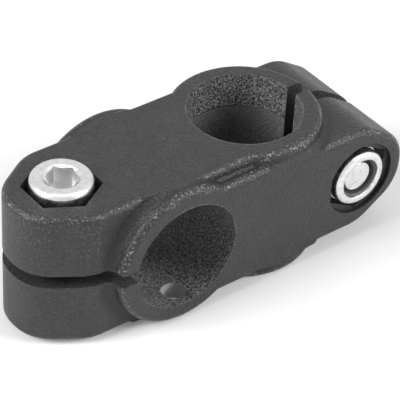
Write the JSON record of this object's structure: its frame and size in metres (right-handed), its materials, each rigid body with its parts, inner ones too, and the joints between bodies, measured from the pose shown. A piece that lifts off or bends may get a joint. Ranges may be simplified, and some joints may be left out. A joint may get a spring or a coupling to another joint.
{
  "type": "cross clamp tube joint",
  "caption": "Plastic cross clamp that joins two round tubes at a right angle, each held by a slit ring with a cap screw and a locking nut.",
  "frame": {"origin": "centre of the body, half way between the two tube axes", "axes": "+X along the body towards the standing tube, +Z along the standing tube's bore, Y along the lying tube's bore"},
  "size_m": [0.109, 0.0415, 0.0425],
  "materials": {
    "black_plastic": "fine spark-eroded texture",
    "zinc_steel": "bright zinc plate",
    "grey_plastic": "smooth nylon"
  },
  "bodies": {
    "clamp_body": {"body": "black_plastic"},
    "cap_screw_1": {"screw_1": "zinc_steel"},
    "lock_nut_1": {"nut_1": "zinc_steel", "lock_ring_1": "grey_plastic"},
    "cap_screw_2": {"screw_2": "zinc_steel"},
    "lock_nut_2": {"nut_2": "zinc_steel", "lock_ring_2": "grey_plastic"}
  },
  "joints": [
    {"name": "screw_1_turn", "type": "hinge", "parent": "clamp_body", "child": "cap_screw_1", "pos_m": [-0.04, 0, 0], "axis": [0, 0, 1], "range_deg": [0, 1080]},
    {"name": "nut_1_travel", "type": "slide", "parent": "clamp_body", "child": "lock_nut_1", "axis": [0, 0, -1], "range_m": [0, 0.0046]},
    {"name": "screw_2_turn", "type": "hinge", "parent": "clamp_body", "child": "cap_screw_2", "pos_m": [0.04, 0, 0], "axis": [0, 1, 0], "range_deg": [0, 1080]},
    {"name": "nut_2_travel", "type": "slide", "parent": "clamp_body", "child": "lock_nut_2", "axis": [0, -1, 0], "range_m": [0, 0.0046]}
  ],
  "couplings": [
    {"joint": "nut_1_travel", "follows": "screw_1_turn", "m_per_rad": 0.00023873},
    {"joint": "nut_2_travel", "follows": "screw_2_turn", "m_per_rad": 0.00023873}
  ]
}
